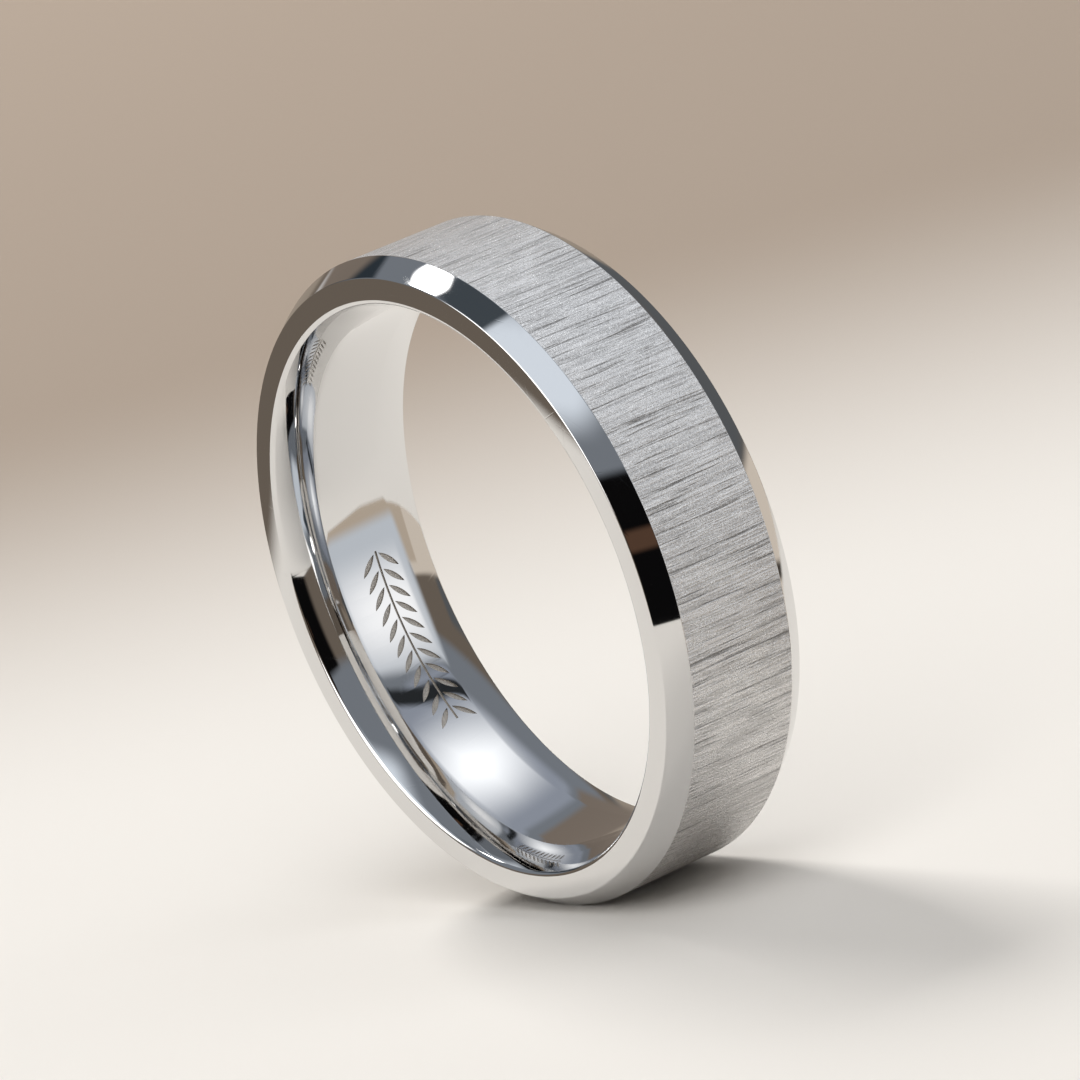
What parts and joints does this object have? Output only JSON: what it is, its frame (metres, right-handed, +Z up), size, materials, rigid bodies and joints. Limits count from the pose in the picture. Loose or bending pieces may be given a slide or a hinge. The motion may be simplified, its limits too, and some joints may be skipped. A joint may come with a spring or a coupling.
{
  "type": "wedding band",
  "caption": "Bevelled tungsten carbide wedding band with a flat brushed centre, polished bevels and a comfort-fit bore.",
  "frame": {"origin": "centre of the ring, on the finger's axis and midway between the side faces", "axes": "+Y along the finger's axis, +Z up with the ring standing on its edge, +X across"},
  "size_m": [0.0242, 0.006, 0.0242],
  "materials": {
    "tungsten_carbide": "satin-brushed centre with mirror-polished bevels, sides and bore"
  },
  "bodies": {
    "root": {"band": "tungsten_carbide"}
  },
  "joints": []
}
